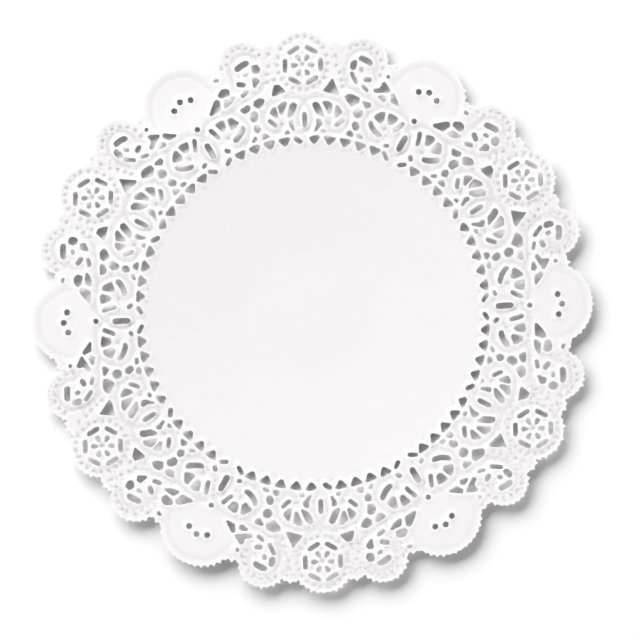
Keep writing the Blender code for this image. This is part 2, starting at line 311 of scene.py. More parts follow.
def rosette_outlines():
    """Six slots round six petals, on the centre line of the repeat."""
    outlines = []
    half_length = ROSETTE_SLOT_LENGTH / 2
    for i in range(ROSETTE_SLOTS):
        angle = i * REPEAT_ANGLE
        tips = [turned((ROSETTE_SLOT_DISTANCE, side), angle) for side in (-half_length, half_length)]
        slot = slot_outline(*tips, ROSETTE_SLOT_HALF_WIDTH, 0.0)
        petal = rounded_outline([turned(corner, angle) for corner in PETAL], PETAL_ROUNDING)
        outlines += [slot, petal]
    centre_y = ROSETTE_RADIUS_FROM_CENTRE
    return [[(x, y + centre_y) for x, y in outline] for outline in outlines]


def centre_line_outlines():
    """The slots and round holes on the centre lines of a rosette and a shell."""
    outlines = [slot_outline(*ROSETTE_LINE_SLOT, ROSETTE_LINE_SLOT_HALF_WIDTH, 0.0)]
    shell_tips = [turned(tip, SHELL_AXIS) for tip in SHELL_LINE_SLOT]
    outlines.append(slot_outline(*shell_tips, SHELL_LINE_SLOT_HALF_WIDTH, 0.0))
    for distance, aside in SHELL_HOLES:
        centre = turned((0.0, distance), SHELL_AXIS + math.radians(aside))
        outlines.append(round_hole(centre, SHELL_HOLE_RADIUS))
    distance, aside = SHELL_FOOT_HOLE
    centre = turned((0.0, distance), SHELL_AXIS + math.radians(aside))
    outlines.append(round_hole(centre, SHELL_FOOT_HOLE_RADIUS))
    return outlines


# The scalloped edge: round lobes from notch to notch, and small pointed picots all along it.  The
# picots are taken in by their own mean depth, so that the edge keeps its size.
Lobe = namedtuple("Lobe", "name x y radius")
EDGE_RADIUS = CHART_DIAMETER / 2
SHELL_RADIUS_FROM_CENTRE = 108.6
LOBE_REACH = 127.4
ROSETTE_LOBE_RADIUS = LOBE_REACH - ROSETTE_RADIUS_FROM_CENTRE
ROSETTE_LOBE = Lobe("rosette", 0.0, ROSETTE_RADIUS_FROM_CENTRE, ROSETTE_LOBE_RADIUS)
SIDE_LOBES = (
    Lobe("nub by the rosette", 15.0, 118.4, 3.8),
    Lobe("curl", 27.3, 112.4, 11.4),
    Lobe("nub by the shell", 41.0, 107.9, 3.3),
)
NOTCH_RADIUS = 1.3
SHELL_MIDDLE = turned((0.0, SHELL_RADIUS_FROM_CENTRE), SHELL_AXIS)
SHELL_LOBE = Lobe("shell", *SHELL_MIDDLE, LOBE_REACH - SHELL_RADIUS_FROM_CENTRE)
PICOT_PITCH = 2.9
PICOT_DEPTH = 1.1
PICOT_DEPTH_RANGE = (0.4, 1.4)
PICOT_SEED = 8
MEAN_OF_WAVE = 1 - 2 / math.pi
LOBE_STEPS = 60
NOTCH_STEPS = 10

# The die stands a little askew: towards the upper left of the picture the edge and the beads along
# it are cut wide of the lace, and the beads and grooves are pressed deeper and given darker painted shade.
WIDE_CUT = 1.5
WIDE_SIDE = math.radians(-31.0)
WIDE_CUT_START = 112.0
WIDE_CUT_FULL = 122.0


def towards_wide_side(x, y):
    """1 in the direction of the wide side, 0 in the opposite one."""
    return 0.5 + 0.5 * math.cos(math.atan2(x, y) - WIDE_SIDE)


def widened(point):
    """A point near the edge, moved out a little towards the wide side."""
    share = smooth_step(WIDE_CUT_START, WIDE_CUT_FULL, point.length)
    return point + point.normalized() * (WIDE_CUT * share * towards_wide_side(point.x, point.y))


def lobes_clockwise():
    """The lobes of the whole edge, clockwise from the first rosette."""
    lobes = []
    for repeat in range(REPEATS):
        for lobe in (ROSETTE_LOBE, *SIDE_LOBES, SHELL_LOBE):
            x, y = turned((lobe.x, lobe.y), repeat * REPEAT_ANGLE)
            lobes.append(lobe._replace(x=x, y=y))
        for lobe in reversed(SIDE_LOBES):
            x, y = turned((-lobe.x, lobe.y), (repeat + 1) * REPEAT_ANGLE)
            lobes.append(lobe._replace(x=x, y=y))
    return lobes


def notch_centre(lobe, other):
    """The centre of the small arc that rounds the notch between two neighbouring lobes."""
    start = Vector((lobe.x, lobe.y))
    apart = Vector((other.x, other.y)) - start
    distance = apart.length
    reach = lobe.radius + NOTCH_RADIUS
    along = (distance**2 + reach**2 - (other.radius + NOTCH_RADIUS) ** 2) / (2 * distance)
    aside = math.sqrt(reach**2 - along**2)
    across = Vector((-apart.y, apart.x)) / distance
    foot = start + apart * (along / distance)
    return max((foot + across * aside, foot - across * aside), key=lambda point: point.length)


def scalloped_edge(spacing):
    """The edge of the sheet with its picots, clockwise at an even spacing."""
    lobes = lobes_clockwise()
    edge = []
    for i, lobe in enumerate(lobes):
        middle = Vector((lobe.x, lobe.y))
        ahead = lobes[(i + 1) % len(lobes)]
        to_first = notch_centre(lobes[i - 1], lobe) - middle
        notch = notch_centre(lobe, ahead)
        to_last = notch - middle
        start = math.atan2(to_first.y, to_first.x)
        span = (start - math.atan2(to_last.y, to_last.x)) % math.tau
        edge += arc(middle, lobe.radius, start, -span, LOBE_STEPS)
        start = math.atan2(-to_last.y, -to_last.x)
        to_ahead = Vector((ahead.x, ahead.y)) - notch
        span = (math.atan2(to_ahead.y, to_ahead.x) - start) % math.tau
        edge += arc(notch, NOTCH_RADIUS, start, span, NOTCH_STEPS)[1:-1]
    edge = along_closed(edge, spacing)
    chance = random.Random(PICOT_SEED)
    picots = round(len(edge) * spacing / PICOT_PITCH)
    depths = [PICOT_DEPTH * chance.uniform(*PICOT_DEPTH_RANGE) for i in range(picots)]
    points = []
    for i, point in enumerate(edge):
        along = (edge[(i + 1) % len(edge)] - edge[i - 1]).normalized()
        outwards = Vector((-along.y, along.x))
        wave = 1.0 - abs(math.sin(math.pi * picots * i / len(edge)))
        depth = depths[round(picots * i / len(edge)) % picots]
        points.append(widened(point + outwards * (depth * wave - PICOT_DEPTH * MEAN_OF_WAVE)))
    return points


# No two openings of a real die are quite alike: each repeat's are shifted and turned a little,
# and the cut itself is a little ragged.
SHIFT = 0.09
TURN = math.radians(1.2)
RAGGEDNESS = 0.05
OPENING_SEED = 3
OPENING_SPACING = 0.62
EDGE_SPACING = 0.37


def uneven(outline, chance):
    """The same outline, shifted and turned a little about its own middle."""
    middle = sum(outline, Vector((0.0, 0.0))) / len(outline)
    shift = Vector((chance.uniform(-SHIFT, SHIFT), chance.uniform(-SHIFT, SHIFT)))
    turn = Matrix.Rotation(chance.uniform(-TURN, TURN), 2)
    return [middle + shift + turn @ (point - middle) + ragged(chance) for point in outline]


def ragged(chance):
    """A tiny step aside, for one point of a cut."""
    return Vector((chance.uniform(-RAGGEDNESS, RAGGEDNESS), chance.uniform(-RAGGEDNESS, RAGGEDNESS)))


def all_openings():
    """The outlines of every opening in the doily, on the chart, all clockwise."""
    chance = random.Random(OPENING_SEED)
    clockwise_half = [opening_outline(opening) for opening in CLOCKWISE_HALF]
    clockwise_half += ring_triangles(*RING_TRIANGLES_CLOCKWISE)
    mirror_half = [opening_outline(opening) for opening in ANTICLOCKWISE_HALF]
    mirror_half += ring_triangles(*RING_TRIANGLES_ANTICLOCKWISE)
    whole = clockwise_half + [mirrored(outline) for outline in mirror_half]
    whole += rosette_outlines() + centre_line_outlines()
    openings = []
    for repeat in range(REPEATS):
        for outline in whole:
            placed = [turned(point, repeat * REPEAT_ANGLE) for point in outline]
            even = along_closed(placed, OPENING_SPACING)
            if signed_area(even) > 0.0:
                even.reverse()
            openings.append(uneven(even, chance))
    return openings


def signed_area(outline):
    """The area of a closed outline, positive if it runs counter-clockwise."""
    sides = zip(outline, outline[1:] + outline[:1])
    return sum(a[0] * b[1] - b[0] * a[1] for a, b in sides) / 2


# Pressed grooves, as points on the chart that a smooth line runs through.  They part the raised
# bands and ring the wheels, the curls and the slots on the centre lines.  The welts along the cuts
# raise all the narrow strands by themselves.
GROOVES_CLOCKWISE = (
    ((0.0, 97.6), (4.0, 98.6), (7.5, 98.7), (11.0, 98.1), (14.6, 97.0), (17.2, 95.1), (19.2, 92.6),
     (19.9, 90.0), (19.6, 87.4), (18.4, 84.6), (16.1, 82.6), (13.4, 82.6), (10.6, 83.3)),
    ((18.4, 110.5), (18.7, 106.0), (20.6, 102.6), (24.4, 100.4), (28.1, 97.8), (32.0, 95.4), (36.0, 92.7),
     (40.2, 91.4), (44.6, 88.8), (47.2, 85.6), (48.0, 82.2)),
    ((36.0, 92.7), (34.4, 92.4), (32.1, 91.8), (29.6, 90.3), (27.6, 88.0), (26.5, 85.2), (27.0, 82.4),
     (28.0, 79.4), (30.4, 77.4), (33.4, 77.0)),
    ((0.0, 96.2), (2.0, 94.2), (2.9, 91.2), (2.8, 88.0), (1.9, 85.2), (0.0, 83.3)),
    ((46.9, 81.2), (43.9, 80.1), (41.2, 77.2), (40.1, 73.9), (40.8, 70.7)),
    ((20.6, 105.6), (20.1, 108.8), (20.3, 112.0), (21.4, 115.2), (23.8, 117.4), (27.4, 118.1), (31.0, 116.8),
     (33.2, 114.2), (33.8, 111.2), (32.9, 108.4), (32.9, 105.4)),
)
GROOVES_ANTICLOCKWISE = (
    ((0.0, 97.6), (3.5, 98.7), (7.5, 98.8), (11.2, 97.9), (14.2, 96.7), (16.8, 94.8), (18.3, 92.2),
     (18.8, 89.4), (18.2, 86.6), (16.9, 84.7), (14.9, 83.7), (13.2, 83.9), (10.8, 83.6)),
    ((17.3, 110.0), (17.4, 106.4), (19.2, 103.2), (22.6, 100.4), (25.8, 98.0), (29.2, 96.0), (33.0, 93.6),
     (36.8, 91.8), (42.0, 90.4), (45.4, 87.6), (46.9, 84.6), (47.5, 82.0)),
    ((36.8, 91.8), (34.4, 92.5), (31.6, 92.1), (28.9, 90.5), (26.8, 88.2), (25.6, 85.4), (25.9, 82.4),
     (26.9, 79.4), (29.0, 77.6), (31.6, 77.2)),
    ((0.0, 96.2), (2.0, 94.2), (2.8, 91.2), (2.7, 88.0), (1.9, 85.2), (0.0, 83.3)),
    ((46.9, 81.2), (43.9, 80.1), (41.2, 77.2), (40.1, 73.9), (40.8, 70.7)),
    ((20.9, 116.4), (23.6, 117.8), (27.0, 118.0), (30.6, 116.4), (32.8, 113.6), (33.4, 110.8), (32.6, 107.9),
     (32.4, 105.4)),
)
GROOVE_DEPTH = 0.15
GROOVE_HALF_WIDTH = 0.6
GROOVE_SPACING = 0.7

# A shell has one faint groove just inside its rim, which reaches this far round it on each side.
# It is shallower than the others, because it runs over smooth paper.
SHELL_GROOVE_RADIUS = 15.4
SHELL_GROOVE_REACH = math.radians(85.0)
SHELL_GROOVE_STEPS = 60
SHALLOWER_ON_SMOOTH_PAPER = 0.5

# Beads are small round dents, in rows along the edges of the rosette and the curl, with a few more
# between the two.  There is one in the hub of the rosette and of every wheel too.
BEAD_RADIUS = 1.4
BEAD_DEPTH = 0.15
ROSETTE_BEADS = 22
ROSETTE_BEAD_DISTANCE = 11.5
HUB_BEADS_CLOCKWISE = ((0.0, ROSETTE_RADIUS_FROM_CENTRE), (36.2, 82.5), (10.7, 86.3))
HUB_BEADS_ANTICLOCKWISE = ((35.3, 81.3), (10.4, 86.6))
CURL_BEADS_CLOCKWISE = (
    (22.0, 118.9), (24.8, 120.1), (28.2, 120.0), (31.4, 118.5),
    (33.9, 116.1), (35.5, 113.1), (36.3, 109.9), (35.2, 107.0),
)
CURL_BEADS_ANTICLOCKWISE = (
    (19.4, 117.4), (22.2, 119.6), (25.4, 120.3), (28.8, 120.6),
    (31.3, 119.5), (33.9, 116.9), (34.2, 113.6), (36.8, 112.0),
)
BETWEEN_BEADS_CLOCKWISE = ((15.5, 112.4), (16.9, 109.2), (17.3, 105.8), (17.9, 102.7), (15.1, 116.2))
BETWEEN_BEADS_ANTICLOCKWISE = ((13.2, 106.9), (16.4, 106.1), (16.2, 109.6), (15.6, 113.0), (15.2, 117.8))

# A shell is smooth paper as far in as the two wheels at its foot, and so is the plain middle.
# Each kind of ground fades into the next one over a short distance.
OUTER_WHEEL = (36.9, 82.5)
OUTER_WHEEL_RADIUS = 11.4
WHEEL_FADE = 0.8
SHELL_GROUND_RADIUS = 17.6
SHELL_FADE = 0.6
PLAIN_FADE = 3.5
RELIEF_FADE = 6.0

# The welt along a cut is highest just behind it and falls back to the pressed ground.  The drops
# are shares of its height.  It is low along the outer edge, where a painted highlight runs along the
# rim behind the picots.
WELT_HEIGHT = 0.24
WELT_CREST = 0.35
WELT_FOOT = 0.9
WELT_DROP_AT_CUT = 0.12
WELT_DROP_TO_GROUND = 0.75
WELT_DROP_AT_EDGE = 0.65
RIM_WIDTH = 1.3
RIM_FADE = 0.4

# The relief's painted light and shade runs from -1, the greyest, to 1, the brightest.  It is a painted
# highlight on a welt and falls off between these two distances from the cut, less so on smooth paper,
# leaving a painted grey on the pressed ground.  The rim along the edge gets a painted highlight, and
# the beads and grooves get painted shade.
WELT_PAINTED_HIGHLIGHT = 0.85
WELT_TONE_ENDS = (0.15, 0.75)
LOST_OFF_THE_WELT = 1.2
KEPT_ON_SMOOTH_PAPER = 0.35
RIM_PAINTED_HIGHLIGHT = 0.5
BEAD_PAINTED_SHADE = 1.15
GROOVE_PAINTED_SHADE = 0.5

# Thread work starts between these two distances from a cut, and is faint in the grooves.
THREAD_WORK_STARTS = (0.4, 1.0)
THREAD_WORK_LOST_IN_GROOVE = 0.8


def smooth_line(points, spacing):
    """Points along a smooth line through a few charted ones."""
    ends = [points[0], *points, points[-1]]
    line = []
    for before, start, end, after in zip(ends, ends[1:], ends[2:], ends[3:]):
        p0, p1, p2, p3 = Vector(before), Vector(start), Vector(end), Vector(after)
        steps = max(1, round((p2 - p1).length / spacing))
        for i in range(steps):
            t = i / steps
            line.append(
                0.5 * (2 * p1 + (p2 - p0) * t + (2 * p0 - 5 * p1 + 4 * p2 - p3) * t**2
                       + (3 * p1 - p0 - 3 * p2 + p3) * t**3)
            )
    return line + [Vector(points[-1])]


def in_every_repeat(clockwise, anticlockwise):
    """Charted points of both halves of a repeat, turned to each of the repeats."""
    points = list(clockwise) + mirrored(anticlockwise)
    return [Vector(turned(p, repeat * REPEAT_ANGLE)) for repeat in range(REPEATS) for p in points]


def groove_points():
    """Points all along the grooves."""
    clockwise = [p for groove in GROOVES_CLOCKWISE for p in smooth_line(groove, GROOVE_SPACING)]
    anticlockwise = [p for groove in GROOVES_ANTICLOCKWISE for p in smooth_line(groove, GROOVE_SPACING)]
    start = math.pi / 2 - SHELL_AXIS - SHELL_GROOVE_REACH
    sweep = 2 * SHELL_GROOVE_REACH
    clockwise += arc(SHELL_MIDDLE, SHELL_GROOVE_RADIUS, start, sweep, SHELL_GROOVE_STEPS)
    return [widened(point) for point in in_every_repeat(clockwise, anticlockwise)]


def bead_centres():
    """The centre of every bead."""
    ring = []
    for i in range(ROSETTE_BEADS):
        x, y = turned((0.0, ROSETTE_BEAD_DISTANCE), (i + 0.5) * math.tau / ROSETTE_BEADS)
        ring.append((x, y + ROSETTE_RADIUS_FROM_CENTRE))
    clockwise = ring + list(CURL_BEADS_CLOCKWISE + BETWEEN_BEADS_CLOCKWISE + HUB_BEADS_CLOCKWISE)
    anticlockwise = CURL_BEADS_ANTICLOCKWISE + BETWEEN_BEADS_ANTICLOCKWISE + HUB_BEADS_ANTICLOCKWISE
    return [widened(point) for point in in_every_repeat(clockwise, anticlockwise)]


def look_up(points):
    """A search tree over chart points."""
    tree = kdtree.KDTree(len(points))
    for i, point in enumerate(points):
        tree.insert((point[0], point[1], 0.0), i)
    tree.balance()
    return tree


def distance_to(tree, point):
    """How far a chart point is from the nearest point in a search tree."""
    return tree.find((point[0], point[1], 0.0))[2]


def smooth_step(low, high, value):
    """0 below low, 1 above high, and a smooth rise between them."""
    share = max(0.0, min(1.0, (value - low) / (high - low)))
    return share * share * (3.0 - 2.0 * share)


# The distance between two rows of a honeycomb, as a share of the spacing along a row.
ROW_SHARE = 0.866


class PointField:
    """The points of the sheet so far, kept in small squares so that near ones are found fast."""

    SQUARE = 1.0

    def __init__(self):
        self.points = []
        self.squares = {}

    def add(self, point):
        """Keep one more point."""
        self.points.append(point)
        square = (math.floor(point[0] / self.SQUARE), math.floor(point[1] / self.SQUARE))
        self.squares.setdefault(square, []).append(point)

    def is_clear(self, point, clearance):
        """Whether no point kept so far is nearer than the clearance."""
        column = math.floor(point[0] / self.SQUARE)
        row = math.floor(point[1] / self.SQUARE)
        reach = math.ceil(clearance / self.SQUARE)
        for i in range(column - reach, column + reach + 1):
            for j in range(row - reach, row + reach + 1):
                for other in self.squares.get((i, j), ()):
                    if (other[0] - point[0]) ** 2 + (other[1] - point[1]) ** 2 < clearance**2:
                        return False
        return True


def beside(outline, distance):
    """A row of points on the paper's side of a cut."""
    row = []
    for i, point in enumerate(outline):
        along = (outline[(i + 1) % len(outline)] - outline[i - 1]).normalized()
        row.append(point + Vector((-along.y, along.x)) * distance)
    return row


def honeycomb(spacing, inner, outer):
    """Points in even rows between two distances from the middle of the doily."""
    points = []
    rows = math.ceil(outer / (spacing * ROW_SHARE))
    for row in range(-rows, rows + 1):
        for column in range(-rows, rows + 1):
            point = Vector((spacing * (column + (row % 2) / 2), spacing * ROW_SHARE * row))
            if inner <= point.length <= outer:
                points.append(point)
    return points


# A point's distance from the cuts is measured to points this far apart along them.
MEASURING_SPACING = 0.12
edge_outline = scalloped_edge(EDGE_SPACING)
edge_outline.reverse()
openings = all_openings()
cuts = [edge_outline, *openings]
grooves = groove_points()
beads = bead_centres()
shells = in_every_repeat([SHELL_MIDDLE], [])
outer_wheels = in_every_repeat([OUTER_WHEEL], [OUTER_WHEEL])
cut_sides = []
for cut in cuts:
    fine = along_closed(cut, MEASURING_SPACING)
    for i, point in enumerate(fine):
        cut_sides.append((point, fine[(i + 1) % len(fine)] - fine[i - 1]))
cut_tree = look_up([start for start, along in cut_sides])
edge_tree = look_up(along_closed(edge_outline, MEASURING_SPACING))
groove_tree = look_up(grooves)
shell_tree = look_up(shells)
wheel_tree = look_up(outer_wheels)
bead_tree = look_up(beads)


def is_paper(point):
    """Whether a chart point is on the paper's side of the nearest cut."""
    start, along = cut_sides[cut_tree.find((point[0], point[1], 0.0))[1]]
    return along.cross(point - start) > 0.0


# The sheet's points are sown close together along the cuts, beads and grooves, and wider apart
# over the ground.  Each sowing stands this clear of the points already there and of the cuts.
Clear = namedtuple("Clear", "of_points of_cuts")
CREST_CLEAR = Clear(0.3, 0.27)
BEAD_CENTRE_CLEAR = Clear(0.3, 0.3)
BEAD_RING_CLEAR = Clear(0.4, 0.3)
GROOVE_CLEAR = Clear(0.5, 0.45)
FOOT_CLEAR = Clear(0.48, 0.6)
EDGE_ROW_CLEAR = Clear(0.65, 0.8)
LACE_CLEAR = Clear(0.9, 0.8)

# Rings of points stand round a bead, by share of its radius and number of points.  One row follows
# every cut just inside the foot of its welt, and another one follows the edge further in.
BEAD_RINGS = ((0.4, 6), (0.75, 9), (1.05, 10))
BEAD_RING_START = 0.3
FOOT_ROW_SHARE = 0.85
EDGE_ROW_DISTANCE = 1.9
LACE_SPACING = 1.25

# The plain middle needs few points: their spacing from an inner to an outer distance.
MIDDLE_ROWS = ((1.9, 70.0, 75.0), (3.2, 60.0, 70.0), (5.0, 25.0, 60.0), (6.0, 0.0, 25.0))
MIDDLE_CLEAR_SHARE = 0.75
field = PointField()
for cut in cuts:
    for point in cut:
        field.add(point)


def sow(points, clear):
    """Add the points that stand clear of those already there and of the cuts."""
    for point in points:
        if field.is_clear(point, clear.of_points) and distance_to(cut_tree, point) >= clear.of_cuts:
            if point.length < LOBE_REACH + WIDE_CUT and is_paper(point):
                field.add(point)


for cut in cuts:
    sow(beside(cut, WELT_CREST), CREST_CLEAR)
for bead in beads:
    sow([bead], BEAD_CENTRE_CLEAR)
    for radius_share, steps in BEAD_RINGS:
        ring = arc(bead, BEAD_RADIUS * radius_share, BEAD_RING_START, math.tau, steps)[:-1]
        sow([Vector(p) for p in ring], BEAD_RING_CLEAR)
sow(grooves, GROOVE_CLEAR)
for cut in cuts:
    sow(beside(cut, WELT_FOOT * FOOT_ROW_SHARE), FOOT_CLEAR)
sow(beside(edge_outline, EDGE_ROW_DISTANCE), EDGE_ROW_CLEAR)
sow(honeycomb(LACE_SPACING, PLAIN_RADIUS, EDGE_RADIUS + WIDE_CUT), LACE_CLEAR)
for spacing, inner, outer in MIDDLE_ROWS:
    sow(honeycomb(spacing, inner, outer), Clear(spacing * MIDDLE_CLEAR_SHARE, LACE_CLEAR.of_cuts))

# The triangulation fills the edge's loop and leaves out the loops of the openings.
INSIDE_WITHOUT_HOLES = 2
MERGING_DISTANCE = 1e-5
loops = []
first = 0
for cut in cuts:
    loop = list(range(first, first + len(cut)))
    loops.append(loop if signed_area(cut) > 0.0 else loop[::-1])
    first += len(cut)
chart_points = [Vector(p) for p in field.points]
triangulated = delaunay_2d_cdt(chart_points, [], loops, INSIDE_WITHOUT_HOLES, MERGING_DISTANCE)
flat_points, paper_faces = triangulated[0], triangulated[2]

# The sheet lies flat over its middle and rises gently to an edge that wanders up and down a little
# and droops on the wide side.
FLAT_RADIUS = 25.0
EDGE_LIFT = 0.0034
DISH_BEND = 0.08
EDGE_UNEVENNESS = 0.0003
EDGE_DROOP = 0.5
DROOP_START = 0.5
SHEET_THICKNESS = 0.00025

# The wander of the edge is two waves, by their share, number round the edge and start.
EDGE_WAVES = ((0.6, 2.0, 0.7), (0.4, 5.0, 2.1))

# How much deeper the beads and grooves are on the wide side, and shallower opposite.  Their painted shade is
# darker on the wide side by the same share, and lighter opposite.
DEEPER_SHARE = 0.3


def lift(x, y):
    """How far the underside stands off the table at a chart point, in metres."""
    outwards = (math.hypot(x, y) - FLAT_RADIUS) / (EDGE_RADIUS - FLAT_RADIUS)
    if outwards <= 0.0:
        return 0.0
    dish = outwards**2 / (outwards + DISH_BEND)
    angle = math.atan2(x, y)
    droop = EDGE_DROOP * towards_wide_side(x, y) ** 2
    wander = sum(share * math.sin(waves * angle + start) for share, waves, start in EDGE_WAVES)
    rise = EDGE_LIFT * (dish - droop * smooth_step(DROOP_START, 1.0, outwards))
    return rise + EDGE_UNEVENNESS * wander * outwards**2


def smooth_ground(point):
    """1 over the plain middle and the shells, 0 where the paper is pressed like thread work."""
    plain = 1.0 - smooth_step(PLAIN_RADIUS, PLAIN_RADIUS + PLAIN_FADE, point.length)
    to_shell = distance_to(shell_tree, point)
    to_wheel = distance_to(wheel_tree, point)
    reach = SHELL_GROUND_RADIUS + WIDE_CUT * towards_wide_side(point.x, point.y)
    in_shell = 1.0 - smooth_step(reach - SHELL_FADE, reach + SHELL_FADE, to_shell)
    off_wheel = smooth_step(OUTER_WHEEL_RADIUS - WHEEL_FADE, OUTER_WHEEL_RADIUS + WHEEL_FADE, to_wheel)
    return max(plain, in_shell * off_wheel)


def welt(from_cut):
    """The height of the welt along a cut, in chart millimetres."""
    drop = WELT_DROP_AT_CUT * (1.0 - smooth_step(0.0, WELT_CREST, from_cut))
    fall = smooth_step(WELT_CREST, WELT_FOOT, from_cut)
    return WELT_HEIGHT * (1.0 - drop - WELT_DROP_TO_GROUND * fall)


underside = []
relief_light_and_shade = []
thread_work = []
for point in flat_points:
    from_cut = distance_to(cut_tree, point)
    from_edge = distance_to(edge_tree, point)
    smooth = smooth_ground(point)
    # Deeper beads and grooves on the wide side, and darker painted shade in them there.
    deeper_and_more_shaded = 1.0 + DEEPER_SHARE * (2.0 * towards_wide_side(point.x, point.y) - 1.0)
    in_bead = deeper_and_more_shaded * (1.0 - smooth_step(0.0, BEAD_RADIUS, distance_to(bead_tree, point)))
    in_groove = deeper_and_more_shaded * (1.0 - smooth_step(0.0, GROOVE_HALF_WIDTH, distance_to(groove_tree, point)))
    in_groove *= 1.0 - SHALLOWER_ON_SMOOTH_PAPER * smooth
    # A painted highlight along the rim of the outer edge.
    rim_highlight_mask = 1.0 - smooth_step(RIM_WIDTH - RIM_FADE, RIM_WIDTH + RIM_FADE, from_edge)
    at_edge = 1.0 - smooth_step(RIM_WIDTH, 2.0 * RIM_WIDTH, from_edge)
    outside_middle = smooth_step(PLAIN_RADIUS - RELIEF_FADE, PLAIN_RADIUS, point.length)
    raised = welt(from_cut) * (1.0 - WELT_DROP_AT_EDGE * at_edge)
    pressed = raised - GROOVE_DEPTH * in_groove - BEAD_DEPTH * in_bead
    height = lift(point.x, point.y) + outside_middle * pressed * chart_unit
    underside.append(Vector((point.x * chart_unit, point.y * chart_unit, height)))
    # The relief's painted light and shade: a painted highlight on each welt and along the rim, painted grey
    # on the ground, painted shade in beads and grooves.
    lost = (LOST_OFF_THE_WELT - KEPT_ON_SMOOTH_PAPER * smooth) * smooth_step(*WELT_TONE_ENDS, from_cut)
    brightest_painted_light = max(WELT_PAINTED_HIGHLIGHT - lost, RIM_PAINTED_HIGHLIGHT * rim_highlight_mask)
    relief_light_and_shade.append(brightest_painted_light - BEAD_PAINTED_SHADE * in_bead - GROOVE_PAINTED_SHADE * in_groove)
    off_welt = smooth_step(*THREAD_WORK_STARTS, from_cut)
    off_groove = 1.0 - THREAD_WORK_LOST_IN_GROOVE * in_groove
    thread_work.append((1.0 - smooth) * off_groove * off_welt)

thickness = Vector((0.0, 0.0, SHEET_THICKNESS))
count = len(underside)
faces = [tuple(i + count for i in face) for face in paper_faces]
faces += [tuple(reversed(face)) for face in paper_faces]
sides_seen = {}
for face in paper_faces:
    for a, b in zip(face, (*face[1:], face[0])):
        sides_seen[(a, b)] = sides_seen.get((a, b), 0) + 1
cut_walls = [(a, b) for a, b in sides_seen if (b, a) not in sides_seen]
faces += [(b + count, a + count, a, b) for a, b in cut_walls]
sheet_mesh = bpy.data.meshes.new("doily sheet")
sheet_mesh.from_pydata(underside + [p + thickness for p in underside], [], faces)
sheet_mesh.validate()
# The relief's painted light and shade, kept on the points for the paper's colour.
tone = sheet_mesh.attributes.new("painted_relief_light", "FLOAT", "POINT")
tone.data.foreach_set("value", relief_light_and_shade + relief_light_and_shade)
threads = sheet_mesh.attributes.new("thread_work", "FLOAT", "POINT")
threads.data.foreach_set("value", thread_work + thread_work)
doily_sheet = bpy.data.objects.new("doily_sheet", sheet_mesh)
bpy.context.scene.collection.objects.link(doily_sheet)
bpy.ops.object.select_all(action="DESELECT")
doily_sheet.select_set(True)
bpy.context.view_layer.objects.active = doily_sheet
bpy.ops.object.shade_smooth_by_angle(angle=math.radians(45.0))

# White paper with a soft, dry face.  Its colour carries the relief's painted light: a painted
# highlight along the cuts and the rim, painted grey on the pressed ground and painted shade in the
# beads and grooves.  Its fibres show as a fine, low nap and a very faint mottling.
paper = bpy.data.materials.new("pressed white paper")
paper.use_nodes = True
nodes = paper.node_tree.nodes
links = paper.node_tree.links
shader = nodes["Principled BSDF"]
shader.inputs["Roughness"].default_value = 0.82
shader.inputs["Specular IOR Level"].default_value = 0.25

coordinates = nodes.new("ShaderNodeTexCoord")
relief_light_attribute = nodes.new("ShaderNodeAttribute")
relief_light_attribute.attribute_name = "painted_relief_light"
# From the greyest painted shade, through plain paper, to the brightest painted highlight.
relief_light_tone = nodes.new("ShaderNodeValToRGB")
relief_light_tone.color_ramp.elements[0].position = 0.0
relief_light_tone.color_ramp.elements[0].color = (0.572, 0.558, 0.563, 1.0)
relief_light_tone.color_ramp.elements[1].position = 1.0
relief_light_tone.color_ramp.elements[1].color = (0.832, 0.816, 0.822, 1.0)
plain_tone = relief_light_tone.color_ramp.elements.new(0.5)
plain_tone.color = (0.755, 0.736, 0.742, 1.0)
relief_light_range = nodes.new("ShaderNodeMapRange")
relief_light_range.inputs["From Min"].default_value = -1.0
relief_light_range.inputs["From Max"].default_value = 1.0
links.new(relief_light_attribute.outputs["Fac"], relief_light_range.inputs["Value"])
links.new(relief_light_range.outputs["Result"], relief_light_tone.inputs["Fac"])

mottling = nodes.new("ShaderNodeTexNoise")
mottling.inputs["Scale"].default_value = 90.0
mottling.inputs["Detail"].default_value = 6.0
mottling.inputs["Roughness"].default_value = 0.65
links.new(coordinates.outputs["Object"], mottling.inputs["Vector"])
mottling_shade = nodes.new("ShaderNodeMapRange")
mottling_shade.inputs["To Min"].default_value = 0.975
mottling_shade.inputs["To Max"].default_value = 1.02
links.new(mottling.outputs["Fac"], mottling_shade.inputs["Value"])
shaded = nodes.new("ShaderNodeVectorMath")
shaded.operation = "SCALE"
links.new(relief_light_tone.outputs["Color"], shaded.inputs[0])
links.new(mottling_shade.outputs["Result"], shaded.inputs["Scale"])

# Between the beads the die leaves a close, uneven dotting like knotted thread: small dents in the
# bump, each darkened by painted shade.
thread_mask = nodes.new("ShaderNodeAttribute")
thread_mask.attribute_name = "thread_work"
dotting = nodes.new("ShaderNodeTexVoronoi")
dotting.inputs["Scale"].default_value = 450.0
dotting.inputs["Randomness"].default_value = 0.75
links.new(coordinates.outputs["Object"], dotting.inputs["Vector"])
dot_shape = nodes.new("ShaderNodeMapRange")
dot_shape.interpolation_type = "SMOOTHSTEP"
dot_shape.inputs["From Max"].default_value = 0.55
dot_shape.inputs["To Min"].default_value = 1.0
dot_shape.inputs["To Max"].default_value = 0.0
links.new(dotting.outputs["Distance"], dot_shape.inputs["Value"])
dots = nodes.new("ShaderNodeMath")
dots.operation = "MULTIPLY"
links.new(dot_shape.outputs["Result"], dots.inputs[0])
links.new(thread_mask.outputs["Fac"], dots.inputs[1])
